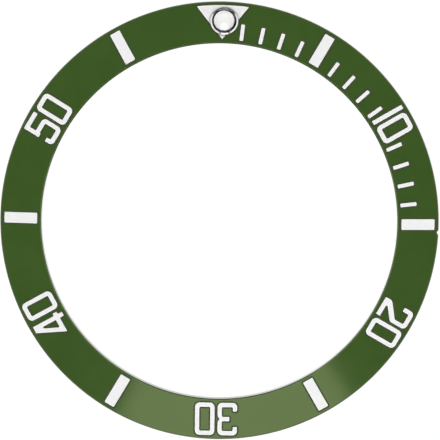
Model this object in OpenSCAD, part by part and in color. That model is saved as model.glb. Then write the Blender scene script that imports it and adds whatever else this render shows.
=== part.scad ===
// Bezel insert for a dive watch: a glossy ceramic ring whose face falls outwards, with a
// sixty minute scale engraved in it. Every mark is a thin inlay in its own pocket, a luminous
// pearl in a polished cup stands over the triangle, and a film on the underside bonds it.
//
// Millimetres. The ring's axis is Z and it lies face up on z = 0, with the triangle towards +Y.
// Minutes count clockwise from +Y as seen from above, so minute 15 is towards +X.

/* [Ring] */
// Outside diameter of the ring
outside_d = 38; // [34:0.1:42]
// Width of the ring's band, from the opening in the middle to the rim
band_w = 3.6; // [3.4:0.05:5]
// Height of the outer wall, from the underside to the edge of the face
outer_wall_h = 0.75; // [0.65:0.05:1.2]
// Fall of the face from the opening out to the rim, in degrees
face_fall = 13.5; // [8:0.5:18]
// Width of the chamfer along the two edges of the face
face_chamfer = 0.09; // [0.04:0.01:0.15]
// Width of the chamfer along the two edges of the underside
foot_chamfer = 0.08; // [0.04:0.01:0.15]

/* [Setting notch] */
// Minute at which the notch in the rim stands
notch_minute = 15.35; // [15.2:0.01:16]
// Width of the notch at the rim
notch_w = 0.45; // [0.2:0.05:0.8]
// Depth of the notch
notch_depth = 0.15; // [0.05:0.01:0.25]

/* [Bonding film] */
// Thickness of the adhesive film
film_t = 0.1; // [0.05:0.01:0.3]
// Bare margin between the film and each wall of the ring
film_margin = 0.35; // [0.1:0.05:0.8]

/* [Engraving] */
// Depth of the pockets below the face
pocket_depth = 0.18; // [0.1:0.01:0.3]
// How far an inlay stays below the face
inlay_sink = 0.03; // [0.01:0.005:0.06]
// Clearance between the edge of an inlay and the wall of its pocket
inlay_clearance = 0.05; // [0.02:0.01:0.08]

/* [Bars] */
// Width of a bar
bar_w = 0.96; // [0.6:0.02:1.4]
// Margin between the ends of a bar and the ring's walls
bar_margin = 0.35; // [0.2:0.01:0.8]
// Corner radius of a bar
bar_corner_r = 0.08; // [0.02:0.01:0.2]

/* [Minute ticks] */
// Width of a tick
tick_w = 0.36; // [0.2:0.01:0.6]
// Length of a tick
tick_len = 1.45; // [0.8:0.05:2]
// Margin between a tick and the wall of the opening
tick_margin = 0.31; // [0.2:0.01:0.8]
// Corner radius of a tick
tick_corner_r = 0.1; // [0.02:0.01:0.15]

/* [Triangle] */
// Width of the triangle across its two outer corners
triangle_w = 4.54; // [3.6:0.02:5.4]
// Margin between the triangle's curved edge and the rim
triangle_rim_margin = 0.31; // [0.2:0.01:0.6]
// Margin between the triangle's tip and the wall of the opening
triangle_tip_margin = 0.36; // [0.2:0.01:0.8]
// Corner radius of the triangle
triangle_corner_r = 0.08; // [0.02:0.01:0.15]

/* [Numerals] */
// Margin between the head and foot of a digit and the ring's walls
digit_margin = 0.33; // [0.25:0.01:0.6]
// Width of a digit
digit_w = 1.73; // [1.5:0.01:2]
// Gap between the two digits of a numeral
digit_gap = 0.23; // [0.15:0.01:0.5]
// Width of an upright stroke
stroke_w = 0.41; // [0.3:0.01:0.5]
// Thickness of a level stroke
stroke_t = 0.43; // [0.3:0.01:0.5]
// Outer radius where a stroke turns
turn_r = 0.43; // [0.2:0.01:0.6]
// Radius of stroke ends and inner corners
end_r = 0.08; // [0.03:0.01:0.12]
// Length of the hooks of the three and the five
hook_len = 0.8; // [0.6:0.01:0.95]
// Length of the hook of the two
two_hook_len = 1.03; // [0.8:0.01:1.1]
// Height of the foot of the two, where its diagonal begins
two_foot_h = 0.65; // [0.55:0.01:0.8]
// Height at which the diagonal of the two meets its upright
two_bend_h = 1.7; // [1.5:0.01:1.8]
// Thickness of the diagonal of the two
two_diagonal_t = 0.49; // [0.4:0.01:0.55]
// Depth of the nick at the waist of the three
three_nick = 0.2; // [0.1:0.01:0.3]
// Distance from the left of the three to its middle arm
three_arm_x = 0.67; // [0.5:0.01:0.9]
// Width of the four
four_w = 1.95; // [1.75:0.01:2.2]
// How far the level stroke of the four runs past its upright
four_tail = 0.23; // [0.1:0.01:0.35]
// Width of the flat head of the four
four_head_w = 0.62; // [0.5:0.01:0.8]
// Height of the level stroke of the four above its foot
four_bar_h = 0.41; // [0.3:0.01:0.6]
// Height of the blunt tip on the left of the four
four_tip_h = 0.08; // [0.04:0.01:0.15]
// Height of the bowl of the five
five_bowl_h = 1.94; // [1.75:0.01:2.1]
// Height at which the left upright of the five ends
five_stem_h = 1.4; // [1.2:0.01:1.45]

/* [Pearl] */
// Distance from the rim to the middle of the pearl
pearl_from_rim = 1.71; // [1.6:0.01:1.9]
// How far the pearl stands clockwise of the triangle's middle line
pearl_shift = 0.15; // [0:0.01:0.3]
// Outside diameter of the cup's rim
cup_d = 2.42; // [2.3:0.01:2.6]
// Height of the cup's rim above the face
cup_rim_h = 0.26; // [0.2:0.01:0.4]
// Width of the sloping top of the cup's rim
cup_rim_w = 0.145; // [0.1:0.005:0.2]
// How far the top of the cup's rim falls outwards
cup_rim_fall = 0.085; // [0.04:0.005:0.15]
// Wall of the cup's barrel
cup_wall = 0.17; // [0.15:0.01:0.19]
// Depth of the cup's barrel below the face
cup_barrel_h = 0.7; // [0.6:0.01:0.78]
// Thickness of the cup's floor
cup_floor_t = 0.14; // [0.08:0.01:0.2]
// Depth of the polished cone inside the cup's mouth
cup_mouth_h = 0.2; // [0.1:0.01:0.3]
// Clearance between the cup's barrel and its hole
barrel_clearance = 0.02; // [0.01:0.005:0.04]
// Thickness of the luminous disc on the cup's floor
lume_t = 0.34; // [0.2:0.01:0.4]
// Diameter of the lens
lens_d = 1.81; // [1.7:0.01:1.9]
// Clearance between the lens and the cup's barrel
lens_clearance = 0.015; // [0.01:0.005:0.03]
// Height of the lens's edge above the face
lens_edge_h = 0.3; // [0.1:0.01:0.4]
// Height of the lens's dome above its edge
dome_h = 0.17; // [0.1:0.01:0.4]

/* [Hidden] */
bar_minutes = [5, 15, 25, 35, 45, 55];
tick_minutes = [for (minute = [1:14]) if (minute % 5 != 0) minute];
numeral_minutes = [10, 20, 30, 40, 50];
digit_names = ["zero", "one", "two", "three", "four", "five"];

function bar_name(minute) = str("bar_inlay_", minute);
function tick_name(minute) = str("tick_inlay_", minute);
function tens_name(minute) = str("numeral_", minute, "_", digit_names[minute / 10]);
function units_name(minute) = str("numeral_", minute, "_", digit_names[0]);

$fn = 180;
degrees_a_minute = 6;
// How far a cutting body runs past what it cuts
past = 1;
// Corners wider than this radius are drawn in fine steps, and the rest in coarse ones
fine_r = 0.2;
fine_step = 15;
coarse_step = 30;
// Straight pieces in the curved edge of the triangle
edge_pieces = 8;

ceramic_green = [0.19, 0.32, 0.12];
inlay_silver = [0.92, 0.92, 0.93];
triangle_silver = [0.86, 0.85, 0.86];
steel_grey = [0.75, 0.76, 0.78];
lume_white = [0.93, 0.95, 0.92];
lens_clear = [0.95, 0.98, 1.0, 0.5];
film_amber = [0.85, 0.8, 0.68];

outside_r = outside_d / 2;
opening_r = outside_r - band_w;
bar_len = band_w - 2 * bar_margin;
digit_h = band_w - 2 * digit_margin;
triangle_top_r = outside_r - triangle_rim_margin;
triangle_tip_r = opening_r + triangle_tip_margin;

pearl_r = outside_r - pearl_from_rim;
pearl_turn = asin(pearl_shift / pearl_r);
cup_r = cup_d / 2;
lens_r = lens_d / 2;
cup_bore_r = lens_r + lens_clearance;
barrel_r = cup_bore_r + cup_wall;
cup_floor_z = cup_floor_t - cup_barrel_h;
lume_top_z = cup_floor_z + lume_t;
dome_r = (lens_r * lens_r + dome_h * dome_h) / (2 * dome_h);

// Height of the face at a distance from the axis
function face_z(r) = film_t + outer_wall_h + (outside_r - r) * tan(face_fall);

// Outlines are lists of corners, counterclockwise, each [x, y, radius]. A corner of radius 0
// stays sharp. An outline can be grown by a distance, and its radii follow.

function unit(v) = v / norm(v);
function right_of(v) = [v.y, -v.x];

function moved_corner(before, at, after, grow) =
    let (
        side_in = right_of(unit(at - before)),
        side_out = right_of(unit(after - at))
    )
    at + grow * (side_in + side_out) / (1 + side_in * side_out);

// The arc that rounds a corner, no longer than half of the shorter side beside it
function rounded_corner(before, at, after, r) =
    let (
        back = unit(before - at),
        ahead = unit(after - at),
        half = acos(back * ahead) / 2,
        room = min(norm(before - at), norm(after - at)) / 2,
        fit_r = min(r, room * tan(half)),
        centre = at + unit(back + ahead) * fit_r / sin(half),
        start = at + back * fit_r / tan(half) - centre,
        finish = at + ahead * fit_r / tan(half) - centre,
        from = atan2(start.y, start.x),
        sweep = atan2(cross(start, finish), start * finish),
        steps = ceil(abs(sweep) / (fit_r > fine_r ? fine_step : coarse_step))
    )
    [for (k = [0:steps]) centre + fit_r * [cos(from + sweep * k / steps), sin(from + sweep * k / steps)]];

function outline(corners, grow) =
    let (
        count = len(corners),
        flat = [for (corner = corners) [corner.x, corner.y]],
        moved = [
            for (i = [0:count - 1])
                moved_corner(flat[(i + count - 1) % count], flat[i], flat[(i + 1) % count], grow)
        ]
    )
    [
        for (i = [0:count - 1])
            let (
                before = moved[(i + count - 1) % count],
                at = moved[i],
                after = moved[(i + 1) % count],
                outer = cross(at - before, after - at) > 0,
                r = corners[i].z == 0 ? 0 : corners[i].z + (outer ? grow : -grow)
            )
            each r > 0 ? rounded_corner(before, at, after, r) : [at]
    ];

function box_corners(left, low, right, high, r) =
    [[left, low, r], [right, low, r], [right, high, r], [left, high, r]];

// The digits stand on y = 0 with their left side on x = 0

function digit_width(digit) = digit == 1 ? stroke_w : digit == 4 ? four_w : digit_w;

function zero_corners() = box_corners(0, 0, digit_w, digit_h, turn_r);

function zero_counter() =
    box_corners(stroke_w, stroke_t, digit_w - stroke_w, digit_h - stroke_t, end_r);

function one_corners() = box_corners(0, 0, stroke_w, digit_h, end_r);

function two_corners() =
    let (
        inner_x = digit_w - stroke_w,
        slope = (two_bend_h - two_foot_h) / inner_x,
        drop = two_diagonal_t * sqrt(1 + slope * slope),
        low_line = two_foot_h - drop
    )
    [
        [0, 0, end_r],
        [digit_w, 0, end_r],
        [digit_w, stroke_t, end_r],
        [(stroke_t - low_line) / slope, stroke_t, 0],
        [digit_w, low_line + slope * digit_w, turn_r],
        [digit_w, digit_h, turn_r],
        [0, digit_h, turn_r],
        [0, digit_h - two_hook_len, end_r],
        [stroke_w, digit_h - two_hook_len, end_r],
        [stroke_w, digit_h - stroke_t, end_r],
        [inner_x, digit_h - stroke_t, end_r],
        [inner_x, two_bend_h, end_r],
        [0, two_foot_h, turn_r]
    ];

function three_corners() =
    let (
        inner_x = digit_w - stroke_w,
        middle = digit_h / 2,
        half_t = stroke_t / 2
    )
    [
        [0, 0, turn_r],
        [digit_w, 0, turn_r],
        [digit_w, middle - three_nick, turn_r],
        [digit_w - three_nick, middle, 0],
        [digit_w, middle + three_nick, turn_r],
        [digit_w, digit_h, turn_r],
        [0, digit_h, turn_r],
        [0, digit_h - hook_len, end_r],
        [stroke_w, digit_h - hook_len, end_r],
        [stroke_w, digit_h - stroke_t, end_r],
        [inner_x, digit_h - stroke_t, end_r],
        [inner_x, middle + half_t, end_r],
        [three_arm_x, middle + half_t, end_r],
        [three_arm_x, middle - half_t, end_r],
        [inner_x, middle - half_t, end_r],
        [inner_x, stroke_t, end_r],
        [stroke_w, stroke_t, end_r],
        [stroke_w, hook_len, end_r],
        [0, hook_len, end_r]
    ];

// The run over the rise of the four's diagonal
function four_lean() =
    (four_w - four_tail - four_head_w) / (digit_h - four_bar_h - four_tip_h);

function four_corners() =
    let (
        right_x = four_w - four_tail,
        left_x = right_x - stroke_w,
        bar_top = four_bar_h + stroke_t
    )
    [
        [left_x, 0, end_r],
        [right_x, 0, end_r],
        [right_x, four_bar_h, end_r],
        [four_w, four_bar_h, end_r],
        [four_w, bar_top, end_r],
        [right_x, bar_top, end_r],
        [right_x, digit_h, end_r],
        [right_x - four_head_w, digit_h, end_r],
        [0, four_bar_h + four_tip_h, end_r],
        [0, four_bar_h, end_r],
        [left_x, four_bar_h, end_r]
    ];

function four_counter() =
    let (
        left_x = four_w - four_tail - stroke_w,
        lean = four_lean(),
        inset_x = stroke_w * sqrt(1 + lean * lean),
        tip_y = four_bar_h + four_tip_h,
        bar_top = four_bar_h + stroke_t
    )
    [
        [inset_x + (bar_top - tip_y) * lean, bar_top, end_r],
        [left_x, bar_top, end_r],
        [left_x, tip_y + (left_x - inset_x) / lean, end_r]
    ];

function five_corners() =
    let (
        inner_x = digit_w - stroke_w,
        bowl_low = five_bowl_h - stroke_t
    )
    [
        [0, 0, turn_r],
        [digit_w, 0, turn_r],
        [digit_w, five_bowl_h, turn_r],
        [stroke_w, five_bowl_h, end_r],
        [stroke_w, digit_h - stroke_t, end_r],
        [digit_w, digit_h - stroke_t, end_r],
        [digit_w, digit_h, end_r],
        [0, digit_h, end_r],
        [0, five_stem_h, end_r],
        [stroke_w, five_stem_h, end_r],
        [stroke_w, bowl_low, end_r],
        [inner_x, bowl_low, end_r],
        [inner_x, stroke_t, end_r],
        [stroke_w, stroke_t, end_r],
        [stroke_w, hook_len, end_r],
        [0, hook_len, end_r]
    ];

function digit_corners(digit) =
    digit == 0 ? zero_corners()
    : digit == 1 ? one_corners()
    : digit == 2 ? two_corners()
    : digit == 3 ? three_corners()
    : digit == 4 ? four_corners()
    : five_corners();

module digit_shape(digit, grow) {
    difference() {
        polygon(outline(digit_corners(digit), grow));
        if (digit == 0)
            polygon(outline(zero_counter(), -grow));
        if (digit == 4)
            polygon(outline(four_counter(), -grow));
    }
}

// The triangle points at the axis, and its outer edge is an arc around it
module triangle_shape(grow) {
    half_angle = asin(triangle_w / 2 / triangle_top_r);
    polygon(outline(concat(
        [[0, triangle_tip_r, triangle_corner_r]],
        [
            for (k = [0:edge_pieces])
                let (angle = 90 - half_angle + 2 * half_angle * k / edge_pieces)
                [
                    triangle_top_r * cos(angle),
                    triangle_top_r * sin(angle),
                    k == 0 || k == edge_pieces ? triangle_corner_r : 0
                ]
        ]
    ), grow));
}

// Marks are drawn at minute 0, with y as the distance from the axis

module bar_shape(grow) {
    low = opening_r + bar_margin;
    polygon(outline(box_corners(-bar_w / 2, low, bar_w / 2, low + bar_len, bar_corner_r), grow));
}

module tick_shape(grow) {
    low = opening_r + tick_margin;
    polygon(outline(box_corners(-tick_w / 2, low, tick_w / 2, low + tick_len, tick_corner_r), grow));
}

// The left digit of a numeral is its tens
module tens_shape(minute, grow) {
    digit = minute / 10;
    left = -(digit_width(digit) + digit_gap + digit_width(0)) / 2;
    translate([left, opening_r + digit_margin])
        digit_shape(digit, grow);
}

module units_shape(minute, grow) {
    pair_w = digit_width(minute / 10) + digit_gap + digit_width(0);
    translate([pair_w / 2 - digit_width(0), opening_r + digit_margin])
        digit_shape(0, grow);
}

module at_minute(minute) {
    rotate([0, 0, -degrees_a_minute * minute])
        children();
}

// A mark's outline, kept to a layer of the face between two heights measured from it
module mark_layer(minute, low, high) {
    intersection() {
        at_minute(minute)
            linear_extrude(face_z(opening_r) + past)
                children();
        rotate_extrude()
            polygon([
                [opening_r, face_z(opening_r) + low],
                [outside_r, face_z(outside_r) + low],
                [outside_r, face_z(outside_r) + high],
                [opening_r, face_z(opening_r) + high]
            ]);
    }
}

module pocket(minute) {
    mark_layer(minute, -pocket_depth, past)
        children();
}

module inlay(minute) {
    mark_layer(minute, -pocket_depth, -inlay_sink)
        children();
}

// The pearl's own axis stands square to the face, with z = 0 on it
module at_pearl() {
    rotate([0, 0, -pearl_turn])
        translate([0, pearl_r, face_z(pearl_r)])
            rotate([-face_fall, 0, 0])
                children();
}

module pearl_hole() {
    at_pearl()
        translate([0, 0, -face_z(opening_r) - past])
            cylinder(r = barrel_r + barrel_clearance, h = face_z(opening_r) + 2 * past);
}

module rim_notch() {
    reach = notch_depth + past;
    half_w = notch_w / 2 * reach / notch_depth;
    at_minute(notch_minute)
        translate([0, 0, -past])
            linear_extrude(face_z(opening_r) + 2 * past)
                polygon([
                    [0, outside_r - notch_depth],
                    [half_w, outside_r + past],
                    [-half_w, outside_r + past]
                ]);
}

module ring_body() {
    rotate_extrude()
        polygon([
            [opening_r + foot_chamfer, film_t],
            [outside_r - foot_chamfer, film_t],
            [outside_r, film_t + foot_chamfer],
            [outside_r, face_z(outside_r) - face_chamfer],
            [outside_r - face_chamfer, face_z(outside_r - face_chamfer)],
            [opening_r + face_chamfer, face_z(opening_r + face_chamfer)],
            [opening_r, face_z(opening_r) - face_chamfer],
            [opening_r, film_t + foot_chamfer]
        ]);
}

module insert_ring() {
    color(ceramic_green)
        difference() {
            ring_body();
            pocket(0)
                triangle_shape(inlay_clearance);
            for (minute = bar_minutes)
                pocket(minute)
                    bar_shape(inlay_clearance);
            for (minute = tick_minutes)
                pocket(minute)
                    tick_shape(inlay_clearance);
            for (minute = numeral_minutes) {
                pocket(minute)
                    tens_shape(minute, inlay_clearance);
                pocket(minute)
                    units_shape(minute, inlay_clearance);
            }
            pearl_hole();
            rim_notch();
        }
}

module bonding_film() {
    color(film_amber)
        rotate_extrude()
            translate([opening_r + film_margin, 0])
                square([band_w - 2 * film_margin, film_t]);
}

// The cup's hole parts the triangle's tip from the rest of it
module triangle_inlay() {
    color(triangle_silver)
        difference() {
            inlay(0)
                triangle_shape(0);
            pearl_hole();
        }
}

module bar_inlay(minute) {
    color(inlay_silver)
        inlay(minute)
            bar_shape(0);
}

module tick_inlay(minute) {
    color(inlay_silver)
        inlay(minute)
            tick_shape(0);
}

module tens_inlay(minute) {
    color(inlay_silver)
        inlay(minute)
            tens_shape(minute, 0);
}

module units_inlay(minute) {
    color(inlay_silver)
        inlay(minute)
            units_shape(minute, 0);
}

module pearl_cup() {
    color(steel_grey)
        at_pearl()
            rotate_extrude()
                polygon([
                    [0, -cup_barrel_h],
                    [barrel_r, -cup_barrel_h],
                    [barrel_r, 0],
                    [cup_r, 0],
                    [cup_r, cup_rim_h - cup_rim_fall],
                    [cup_r - cup_rim_w, cup_rim_h],
                    [cup_bore_r, cup_rim_h - cup_mouth_h],
                    [cup_bore_r, cup_floor_z],
                    [0, cup_floor_z]
                ]);
}

module pearl_lume() {
    color(lume_white)
        at_pearl()
            translate([0, 0, cup_floor_z])
                cylinder(r = lens_r, h = lume_t);
}

module pearl_lens() {
    color(lens_clear)
        at_pearl()
            intersection() {
                translate([0, 0, lume_top_z])
                    cylinder(r = lens_r, h = lens_edge_h + dome_h - lume_top_z);
                translate([0, 0, lens_edge_h + dome_h - dome_r])
                    sphere(r = dome_r);
            }
}

insert_ring();
bonding_film();
triangle_inlay();
pearl_cup();
pearl_lume();
pearl_lens();
for (minute = bar_minutes)
    bar_inlay(minute);
for (minute = tick_minutes)
    tick_inlay(minute);
for (minute = numeral_minutes)
    tens_inlay(minute);
for (minute = numeral_minutes)
    units_inlay(minute);
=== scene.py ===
# %% [markdown]
# # A green bezel insert for a dive watch
#
# The object is the ring that drops into the rotating bezel of a dive watch: glossy green
# ceramic with a face that falls outwards, a minute scale engraved in it and filled with
# silver, and a luminous pearl in a polished cup. The CAD model gives each piece its place and
# size. Blender adds what the solids leave out: rounded edges, the grain of the fillings, tool
# marks and gloss. All pieces are drawn in millimetres here and turned into metres at the end,
# in the frame of the CAD model: the axis is Z, and the triangle stands towards +Y.

import math

import bpy
import numpy as np
from mathutils import Matrix, Vector, noise
from mathutils.geometry import delaunay_2d_cdt


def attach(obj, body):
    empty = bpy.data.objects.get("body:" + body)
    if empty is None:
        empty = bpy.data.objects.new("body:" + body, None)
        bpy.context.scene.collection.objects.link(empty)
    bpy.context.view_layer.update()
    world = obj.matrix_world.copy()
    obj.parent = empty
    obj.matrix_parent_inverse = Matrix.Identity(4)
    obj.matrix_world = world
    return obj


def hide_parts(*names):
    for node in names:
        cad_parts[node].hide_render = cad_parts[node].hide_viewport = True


MM = 0.001
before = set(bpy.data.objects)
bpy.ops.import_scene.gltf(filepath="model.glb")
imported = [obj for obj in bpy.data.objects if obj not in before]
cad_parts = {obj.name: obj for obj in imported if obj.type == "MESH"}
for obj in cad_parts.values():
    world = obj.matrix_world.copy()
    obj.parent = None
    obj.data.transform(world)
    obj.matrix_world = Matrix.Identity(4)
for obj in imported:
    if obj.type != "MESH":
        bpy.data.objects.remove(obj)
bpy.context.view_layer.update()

# %% [markdown]
# ## The sloped face
#
# The face is part of a cone, so one function gives its height at any place, and one its
# normal. Everything on the face is measured from them: pockets, fillings and the pearl. On a
# polished cone a reflection shows every flat triangle, so the exact normals are kept beside
# the points and handed to the mesh at the end.

# %% Height and normal of the face
OUTSIDE_R = 19.0
BAND_W = 3.6
OPENING_R = OUTSIDE_R - BAND_W
FILM_T = 0.1
OUTER_WALL_H = 0.75
FACE_FALL = math.radians(13.5)
SLOPE = math.tan(FACE_FALL)


def height_at(r):
    """Height of the face above the film's underside, at a distance from the axis."""
    return FILM_T + OUTER_WALL_H + (OUTSIDE_R - r) * SLOPE


def face_height(x, y):
    return height_at(math.hypot(x, y))


def face_normal(x, y):
    """Unit normal of the face, which leans outwards."""
    side = math.sin(FACE_FALL) / math.hypot(x, y)
    return np.array((x * side, y * side, math.cos(FACE_FALL)))


print("face height in mm:", round(height_at(OPENING_R), 3), "at the opening,",
      round(height_at(OUTSIDE_R), 3), "at the rim")

# %% [markdown]
# ## Outlines with rounded corners
#
# A cutter leaves a small radius in each corner, and the fillings follow it. An outline is a
# list of corners with a radius each. Every point on it also keeps the direction out of the
# mark, so that the same outline can be grown or shrunk without losing a point. Rows of points
# that match one to one can then be joined into walls and rounded edges.

# %% An outline
class Outline:
    """A line in mm with its mark on the left: points, directions out of the mark, and how far
    each point can go outwards and inwards before its corner folds."""

    def __init__(self, points, normals, out_limit, in_limit):
        self.points = np.array(points, float)
        self.normals = np.array(normals, float)
        self.out_limit = np.array(out_limit, float)
        self.in_limit = np.array(in_limit, float)

    def grown(self, amount):
        step = np.clip(amount, -self.in_limit, self.out_limit)
        return self.points + step[:, None] * self.normals

    def at(self, grow, depth):
        """The grown line and its directions, which are the same at every depth."""
        return self.grown(grow), self.normals

    def turned(self, angle, shift):
        c, s = math.cos(angle), math.sin(angle)
        turn = np.array(((c, s), (-s, c)))
        return Outline((self.points + shift) @ turn, self.normals @ turn, self.out_limit, self.in_limit)

    def as_hole(self):
        """The same line round a hole in the mark: it runs the other way."""
        return Outline(self.points[::-1], -self.normals[::-1], self.in_limit[::-1], self.out_limit[::-1])


# %% Rounding the corners of an outline
ARC_STEP = math.radians(15)
LONGEST_SIDE = 0.35
CORNER_SPARE = 0.004
LIMIT_SLOPE = 0.6


def unit(v):
    return v / np.linalg.norm(v)


def cross(a, b):
    return a[0] * b[1] - a[1] * b[0]


def polar(r, angle):
    return r * math.cos(angle), r * math.sin(angle)


def corner_arc(before, at, after, radius):
    """Points and outward directions of one rounded corner of a counterclockwise line."""
    back, ahead = unit(before - at), unit(after - at)
    outer = cross(at - before, after - at) > 0
    half = math.acos(max(-1.0, min(1.0, float(back @ ahead)))) / 2
    if radius == 0:
        side = unit(np.array((ahead[1] - back[1], back[0] - ahead[0])))
        return [at], [side], math.inf, outer
    room = min(np.linalg.norm(before - at), np.linalg.norm(after - at)) / 2
    r = min(radius, room * math.tan(half))
    centre = at + unit(back + ahead) * r / math.sin(half)
    start = at + back * r / math.tan(half) - centre
    finish = at + ahead * r / math.tan(half) - centre
    first = math.atan2(start[1], start[0])
    sweep = math.atan2(cross(start, finish), float(start @ finish))
    steps = max(2, math.ceil(abs(sweep) / ARC_STEP))
    angles = [first + sweep * k / steps for k in range(steps + 1)]
    rays = [np.array(polar(1, a)) for a in angles]
    return [centre + r * ray for ray in rays], [ray if outer else -ray for ray in rays], r, outer


def eased(limits, points, closed):
    """Lets a limit rise only slowly along the line, so that its neighbours don't cross it."""
    count = len(points)
    for step in (1, -1):
        for k in range(2 * count):
            i = (step * k) % count
            j = (i + step) % count
            if closed or abs(i - j) == 1:
                gap = float(np.linalg.norm(points[j] - points[i]))
                limits[j] = min(limits[j], limits[i] + LIMIT_SLOPE * gap)


def rounded(corners, closed=True, longest=LONGEST_SIDE):
    """The Outline of corners (x, y, radius), counterclockwise. An open one keeps its two ends."""
    flat = [np.array(c[:2], float) for c in corners]
    count = len(corners)
    points, normals, out_limit, in_limit = [], [], [], []
    for i, corner in enumerate(corners):
        if not closed and i in (0, count - 1):
            ahead = unit(flat[1] - flat[0]) if i == 0 else unit(flat[-1] - flat[-2])
            arc, rays, r, outer = [flat[i]], [np.array((ahead[1], -ahead[0]))], math.inf, True
        else:
            arc, rays, r, outer = corner_arc(flat[i - 1], flat[i], flat[(i + 1) % count], corner[2])
        points += arc
        normals += rays
        out_limit += [math.inf if outer else r - CORNER_SPARE] * len(arc)
        in_limit += [r - CORNER_SPARE if outer else math.inf] * len(arc)
    line = [[], [], [], []]
    for i in range(len(points)):
        found = [(points[i], normals[i], out_limit[i], in_limit[i])]
        ahead = (i + 1) % len(points)
        gap = points[ahead] - points[i]
        length = np.linalg.norm(gap)
        if (closed or ahead) and length > longest:
            side = unit(np.array((gap[1], -gap[0])))
            pieces = math.ceil(length / longest)
            found += [(points[i] + gap * k / pieces, side, math.inf, math.inf) for k in range(1, pieces)]
        for values in found:
            for column, value in zip(line, values):
                column.append(value)
    eased(line[2], line[0], closed)
    eased(line[3], line[0], closed)
    return Outline(*line)


def box_corners(left, low, right, high, r):
    return [(left, low, r), (right, low, r), (right, high, r), (left, high, r)]


tile = rounded(box_corners(0, 0, 1, 1, 0.1))
print("points on a rounded square:", len(tile.points))

# %% [markdown]
# ## A mesh in the making
#
# Each piece is built as rows of points joined by strips of four-sided faces, and flat-looking
# areas are filled with triangles between their rows. A Shell collects them. Every corner of a
# face may carry its own exact normal, and every point an edge value from 0 to 1. The
# materials read that value to paint shade on the engraved edges, in the pearl's cup and on the
# lens's side, to paint a highlight along the edges of the fillings and the paste, and to darken
# the cut edges of the film.

# %% Shells
NO_NORMAL = (0.0, 0.0, 0.0)
SAME_PLACE = 1e-7


class Shell:
    """Points in mm, faces, a normal for each corner of each face, and an edge value per point."""

    def __init__(self):
        self.points = []
        self.edge = []
        self.faces = []
        self.normals = []

    def row(self, points, edge=0.0):
        first = len(self.points)
        self.points += [tuple(map(float, p)) for p in points]
        self.edge += [edge] * len(points)
        return list(range(first, len(self.points)))

    def face(self, corners, normals=None):
        self.faces.append(tuple(corners))
        self.normals += [NO_NORMAL] * len(corners) if normals is None else [tuple(n) for n in normals]

    def strip(self, low, high, low_normals, high_normals):
        """Faces between two closed rows of the same length. They face right of the row's
        direction where high is above low."""
        for k in range(len(low)):
            n = (k + 1) % len(low)
            self.face((low[k], low[n], high[n], high[k]),
                      (low_normals[k], low_normals[n], high_normals[n], high_normals[k]))

    def skin(self, rows, normals):
        """Strips between rows that follow each other."""
        for k in range(len(rows) - 1):
            self.strip(rows[k], rows[k + 1], normals[k], normals[k + 1])

    def fan(self, centre, row, centre_normal, normals):
        for k in range(len(row)):
            n = (k + 1) % len(row)
            self.face((centre, row[k], row[n]), (centre_normal, normals[k], normals[n]))

    def fill(self, loops, loose=(), down=False, normal=None):
        """Triangles over what lies inside an odd number of the closed rows. loose are further
        points of the shell that the triangles use."""
        used = [i for loop in loops for i in loop] + list(loose)
        where = {index: k for k, index in enumerate(used)}
        flat = [Vector(self.points[i][:2]) for i in used]
        edges = [(where[a], where[b]) for loop in loops for a, b in zip(loop, loop[1:] + loop[:1])]
        found = delaunay_2d_cdt(flat, edges, [], 0, SAME_PLACE, True)
        source = [used[origin[0]] for origin in found[3]]
        borders = {frozenset(edge) for edge, origin in zip(found[1], found[4]) if origin}
        for triangle in enclosed(found[2], borders):
            corners = [source[i] for i in (triangle[::-1] if down else triangle)]
            self.face(corners, None if normal is None else [normal(*self.points[i][:2]) for i in corners])


def enclosed(triangles, borders):
    """The triangles that lie within an odd number of borders, found by walking in from outside."""
    beside = {}
    for t, triangle in enumerate(triangles):
        for a, b in zip(triangle, triangle[1:] + triangle[:1]):
            beside.setdefault(frozenset((a, b)), []).append(t)
    within = {}
    for edge, pair in beside.items():
        if len(pair) == 1:
            within[pair[0]] = edge in borders
    queue = list(within)
    while queue:
        t = queue.pop()
        triangle = triangles[t]
        for a, b in zip(triangle, triangle[1:] + triangle[:1]):
            edge = frozenset((a, b))
            for other in beside[edge]:
                if other not in within:
                    within[other] = within[t] != (edge in borders)
                    queue.append(other)
    return [triangle for t, triangle in enumerate(triangles) if within[t]]


square = Shell()
square.fill([square.row([(x, y, 0) for x, y in tile.points])])
print("triangles that fill the rounded square:", len(square.faces))

# %% [markdown]
# ## The marks of the minute scale
#
# Bars stand at minutes 5, 15, 25 and so on, numerals at the tens, and short ticks fill the
# first quarter. Text objects could draw the numerals, but only in a font's shapes. These are
# straight strokes with round turns, as an engraving cutter makes them, so a list of corners
# with a radius each is enough for a digit. A corner of only two numbers has the small radius
# of a stroke's end. Each digit stands on y = 0 with its left side on x = 0, and is then set
# on the ring and turned to its minute.

# %% Corners of the digits
DIGIT_MARGIN = 0.33
DIGIT_H = BAND_W - 2 * DIGIT_MARGIN
DIGIT_W = 1.73
DIGIT_GAP = 0.23
STROKE_W = 0.41
STROKE_T = 0.43
TURN_R = 0.43
END_R = 0.08
INNER = DIGIT_W - STROKE_W
UNDER_TOP = DIGIT_H - STROKE_T


def zero():
    return (box_corners(0, 0, DIGIT_W, DIGIT_H, TURN_R),
            box_corners(STROKE_W, STROKE_T, INNER, UNDER_TOP, END_R))


def one():
    return box_corners(0, 0, STROKE_W, DIGIT_H, END_R), None


def top_hook(hook):
    """A stroke's end that hangs from the top left, and the underside of the top stroke."""
    return [(0, DIGIT_H - hook), (STROKE_W, DIGIT_H - hook), (STROKE_W, UNDER_TOP), (INNER, UNDER_TOP)]


def foot_hook(hook):
    """The upper side of the foot stroke, and an end that stands up at its left."""
    return [(INNER, STROKE_T), (STROKE_W, STROKE_T), (STROKE_W, hook), (0, hook)]


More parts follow.
